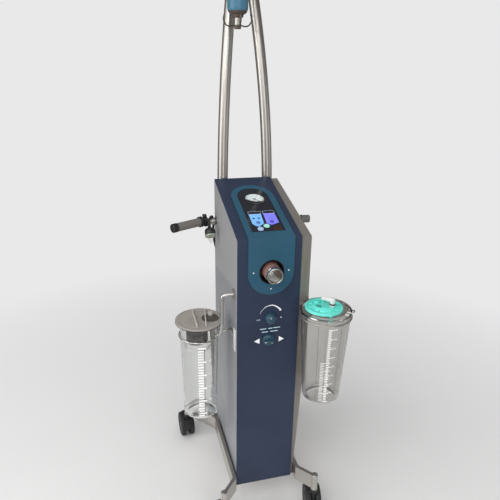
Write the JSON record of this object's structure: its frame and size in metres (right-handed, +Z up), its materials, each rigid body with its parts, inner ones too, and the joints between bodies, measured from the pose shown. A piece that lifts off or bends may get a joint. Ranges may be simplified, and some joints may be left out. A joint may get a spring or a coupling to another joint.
{
  "type": "suction pump on wheeled stand",
  "caption": "Upright suction pump on a wheeled stand, with a sloping console, vacuum gauge, front port and knobs, side canisters, a cross handle and a two-tube mast with bag hooks.",
  "frame": {"origin": "on the floor, under the middle of the box round the part without its mains cord", "axes": "+Z up, +X to the right as seen from the front, -Y out of the navy front"},
  "size_m": [0.5317, 0.6618, 1.876],
  "materials": {
    "navy_paint": "smooth satin paint",
    "teal_plastic": "smooth, low gloss",
    "grey_panel": "fine metallic grey",
    "brushed_steel": "brushed lengthwise",
    "polished_steel": "polished",
    "black_plastic": "fine grain",
    "dark_rubber": "matt",
    "console_glass": "dark glossy panel",
    "clear_plastic": "clear moulded plastic",
    "smoky_lid": "smoky moulded plastic",
    "turquoise_lid": "moulded",
    "white_plastic": "smooth",
    "copper_valve": "shiny brown coating",
    "grey_grip": "fine grain",
    "blue_display": "lit display",
    "violet_display": "lit display",
    "mint_button": "lit key",
    "blue_button": "lit key",
    "cast_alloy": "cast",
    "circuit_board": "solder mask"
  },
  "bodies": {
    "stand": {"front_cover": "navy_paint", "rear_cover": "navy_paint", "fascia_plate": "teal_plastic", "scale_housing": "teal_plastic", "post_crown": "teal_plastic", "left_panel": "grey_panel", "right_shell": "brushed_steel", "left_rail": "brushed_steel", "right_rail": "brushed_steel", "base_plate": "brushed_steel", "left_post": "polished_steel", "right_post": "polished_steel", "cross_bar": "polished_steel", "left_bracket": "polished_steel", "right_bracket": "polished_steel", "port_liner": "black_plastic", "gauge_case": "black_plastic", "left_clamp": "black_plastic", "cord_gland": "black_plastic", "power_plug": "black_plastic", "cord_coil": "dark_rubber", "cord_to_gland": "dark_rubber", "cord_to_plug": "dark_rubber", "console_glass": "console_glass", "gauge_lens": "clear_plastic", "gauge_dial": "white_plastic", "port_valve": "copper_valve", "left_grip": "grey_grip", "right_grip": "grey_grip", "left_display": "blue_display", "right_display": "violet_display", "pump_motor": "cast_alloy", "vacuum_pump": "cast_alloy", "power_supply": "cast_alloy", "regulator_valve": "cast_alloy", "selector_valve": "cast_alloy", "control_board": "circuit_board"},
    "bag_hooks": {"bag_hooks": "polished_steel"},
    "front_left_fork": {"front_left_fork": "black_plastic"},
    "front_left_wheels": {"front_left_wheels": "dark_rubber"},
    "front_right_fork": {"front_right_fork": "black_plastic"},
    "front_right_wheels": {"front_right_wheels": "dark_rubber"},
    "gauge_needle": {"gauge_needle": "black_plastic"},
    "left_jar": {"left_jar": "clear_plastic"},
    "mode_button": {"mode_button": "mint_button"},
    "port_dial": {"port_dial": "polished_steel"},
    "power_button": {"power_button": "blue_button"},
    "rear_left_brake": {"rear_left_brake": "dark_rubber"},
    "rear_left_fork": {"rear_left_fork": "black_plastic"},
    "rear_left_wheels": {"rear_left_wheels": "dark_rubber"},
    "rear_right_brake": {"rear_right_brake": "dark_rubber"},
    "rear_right_fork": {"rear_right_fork": "black_plastic"},
    "rear_right_wheels": {"rear_right_wheels": "dark_rubber"},
    "regulator_knob": {"regulator_knob": "teal_plastic"},
    "right_jar": {"right_jar": "clear_plastic"},
    "selector_knob": {"selector_knob": "teal_plastic"},
    "left_lid": {"left_lid": "smoky_lid", "left_float_cage": "cast_alloy"},
    "right_lid": {"right_lid": "turquoise_lid", "right_elbow": "white_plastic"}
  },
  "joints": [
    {"name": "front_left_swivel", "type": "hinge", "parent": "stand", "child": "front_left_fork", "pos_m": [-0.1448, -0.2525, 0.1], "axis": [0, 0, 1], "continuous": true},
    {"name": "front_left_roll", "type": "hinge", "parent": "front_left_fork", "child": "front_left_wheels", "pos_m": [-0.14208, -0.22664, 0.05], "axis": [-0.9945, 0.1045, 0], "continuous": true},
    {"name": "front_right_swivel", "type": "hinge", "parent": "stand", "child": "front_right_fork", "pos_m": [0.1752, -0.2525, 0.1], "axis": [0, 0, 1], "continuous": true},
    {"name": "front_right_roll", "type": "hinge", "parent": "front_right_fork", "child": "front_right_wheels", "pos_m": [0.18061, -0.22707, 0.05], "axis": [-0.9781, 0.2079, 0], "continuous": true},
    {"name": "rear_left_swivel", "type": "hinge", "parent": "stand", "child": "rear_left_fork", "pos_m": [-0.1978, 0.2535, 0.1], "axis": [0, 0, 1], "continuous": true},
    {"name": "rear_left_roll", "type": "hinge", "parent": "rear_left_fork", "child": "rear_left_wheels", "pos_m": [-0.19961, 0.27944, 0.05], "axis": [-0.9976, -0.0698, 0], "continuous": true},
    {"name": "rear_left_brake_press", "type": "hinge", "parent": "rear_left_fork", "child": "rear_left_brake", "pos_m": [-0.19665, 0.23704, 0.094], "axis": [0.9976, 0.0698, 0], "range_deg": [0, 20]},
    {"name": "rear_right_swivel", "type": "hinge", "parent": "stand", "child": "rear_right_fork", "pos_m": [0.2282, 0.2535, 0.1], "axis": [0, 0, 1], "continuous": true},
    {"name": "rear_right_roll", "type": "hinge", "parent": "rear_right_fork", "child": "rear_right_wheels", "pos_m": [0.22911, 0.27948, 0.05], "axis": [-0.9994, 0.0349, 0], "continuous": true},
    {"name": "rear_right_brake_press", "type": "hinge", "parent": "rear_right_fork", "child": "rear_right_brake", "pos_m": [0.22762, 0.23701, 0.094], "axis": [0.9994, -0.0349, 0], "range_deg": [0, 20]},
    {"name": "regulator_turn", "type": "hinge", "parent": "stand", "child": "regulator_knob", "pos_m": [0.0222, -0.1865, 0.765], "axis": [0, 1, 0], "range_deg": [-135, 135]},
    {"name": "selector_turn", "type": "hinge", "parent": "stand", "child": "selector_knob", "pos_m": [0.0167, -0.1865, 0.6905], "axis": [0, 1, 0], "range_deg": [0, 180]},
    {"name": "port_dial_turn", "type": "hinge", "parent": "stand", "child": "port_dial", "pos_m": [0.0208, -0.2065, 0.921], "axis": [0, 1, 0], "range_deg": [-90, 90]},
    {"name": "mode_button_press", "type": "slide", "parent": "stand", "child": "mode_button", "axis": [0, 0.2956, -0.9553], "range_m": [0, 0.0015], "stiffness_N_per_m": 300},
    {"name": "power_button_press", "type": "slide", "parent": "stand", "child": "power_button", "axis": [0, 0.2956, -0.9553], "range_m": [0, 0.0015], "stiffness_N_per_m": 300},
    {"name": "gauge_needle_turn", "type": "hinge", "parent": "stand", "child": "gauge_needle", "pos_m": [0.0212, 0.0308, 1.09115], "axis": [0, -0.2956, 0.9553], "range_deg": [0, 270]},
    {"name": "left_jar_lift", "type": "slide", "parent": "stand", "child": "left_jar", "axis": [0, 0, 1], "range_m": [0, 0.3]},
    {"name": "left_lid_lift", "type": "slide", "parent": "left_jar", "child": "left_lid", "axis": [0, 0, 1], "range_m": [0, 0.15]},
    {"name": "right_jar_lift", "type": "slide", "parent": "stand", "child": "right_jar", "axis": [0, 0, 1], "range_m": [0, 0.3]},
    {"name": "right_lid_lift", "type": "slide", "parent": "right_jar", "child": "right_lid", "axis": [0, 0, 1], "range_m": [0, 0.15]},
    {"name": "bag_hooks_turn", "type": "hinge", "parent": "stand", "child": "bag_hooks", "pos_m": [-0.0078, 0.1585, 1.621], "axis": [0, 0, 1], "continuous": true}
  ]
}
